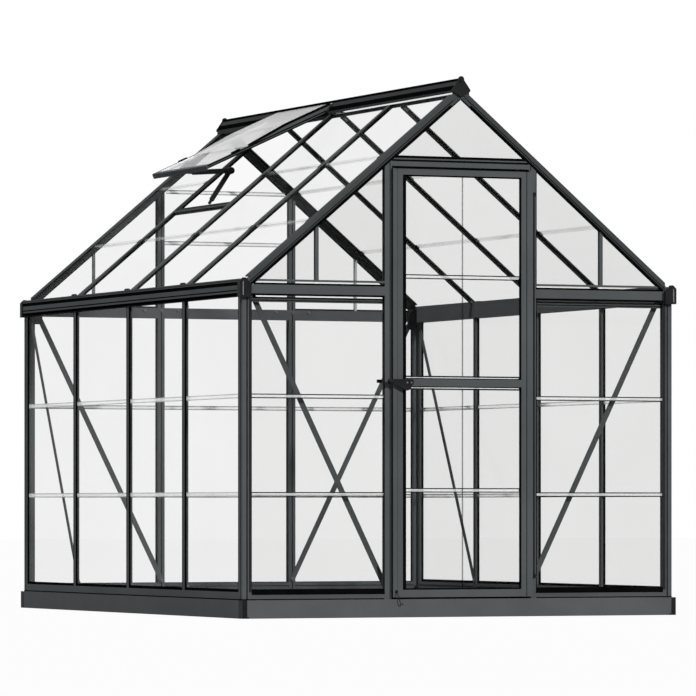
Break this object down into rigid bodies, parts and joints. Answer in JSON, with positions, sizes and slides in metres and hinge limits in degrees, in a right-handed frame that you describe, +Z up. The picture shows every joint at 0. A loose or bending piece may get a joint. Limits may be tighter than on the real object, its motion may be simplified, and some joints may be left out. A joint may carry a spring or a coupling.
{
  "type": "greenhouse",
  "caption": "Free-standing hobby greenhouse with a dark metal frame on a low base, clear panes, a pitched roof with an open vent, gutters and a hinged door in the front gable.",
  "frame": {"origin": "middle of the footprint on the ground, under the base rails", "axes": "+Z up, +Y along the ridge from the door gable to the rear gable, +X to the right of someone facing the door"},
  "size_m": [1.864, 2.47, 2.095],
  "materials": {
    "coated_aluminium": "dark grey powder coat, satin",
    "coated_steel": "dark grey powder coat on folded steel sheet",
    "black_plastic": "moulded black plastic",
    "clear_pane": "clear glossy sheet",
    "clear_strip": "clear extruded strip"
  },
  "bodies": {
    "frame": {"base_corner_caps": "black_plastic", "base_front_rail": "coated_steel", "base_rear_rail": "coated_steel", "base_side_rails": "coated_steel", "corner_posts": "coated_aluminium", "door_header": "coated_aluminium", "door_posts": "coated_aluminium", "eave_beams": "coated_aluminium", "front_gable_panes": "clear_pane", "front_wall_panes": "clear_pane", "gable_mullions": "coated_aluminium", "gable_rafters": "coated_aluminium", "gable_sills": "coated_aluminium", "gutter_end_caps": "black_plastic", "hinge_rod": "coated_steel", "latch_keeper": "black_plastic", "left_gutter": "coated_aluminium", "left_roof_panes": "clear_pane", "left_roof_rafters": "coated_aluminium", "left_wall_panes": "clear_pane", "rear_gable_panes": "clear_pane", "rear_wall_panes": "clear_pane", "rear_wall_posts": "coated_aluminium", "ridge_beam": "coated_aluminium", "ridge_end_caps": "black_plastic", "right_gutter": "coated_aluminium", "right_roof_panes": "clear_pane", "right_roof_rafters": "coated_aluminium", "right_wall_panes": "clear_pane", "roof_joint_strips": "clear_strip", "side_sills": "coated_aluminium", "side_wall_posts": "coated_aluminium", "vent_frame": "coated_aluminium", "vent_pane": "clear_pane", "vent_sill": "coated_aluminium", "vent_stay": "black_plastic", "wall_braces": "coated_aluminium", "wall_joint_strips": "clear_strip"},
    "door": {"door_joint_strips": "clear_strip", "door_panes": "clear_pane", "door_rails": "coated_aluminium", "door_stiles": "coated_aluminium", "hinge_sleeve": "coated_aluminium", "latch_plate": "black_plastic"},
    "latch": {"latch_lever": "black_plastic"}
  },
  "joints": [
    {"name": "door_hinge", "type": "hinge", "parent": "frame", "child": "door", "pos_m": [0.311, -1.2195, 0.9], "axis": [0, 0, 1], "range_deg": [0, 110]},
    {"name": "latch_turn", "type": "hinge", "parent": "door", "child": "latch", "pos_m": [-0.232, -1.217, 0.90518], "axis": [0, 1, 0], "range_deg": [0, 90]}
  ]
}
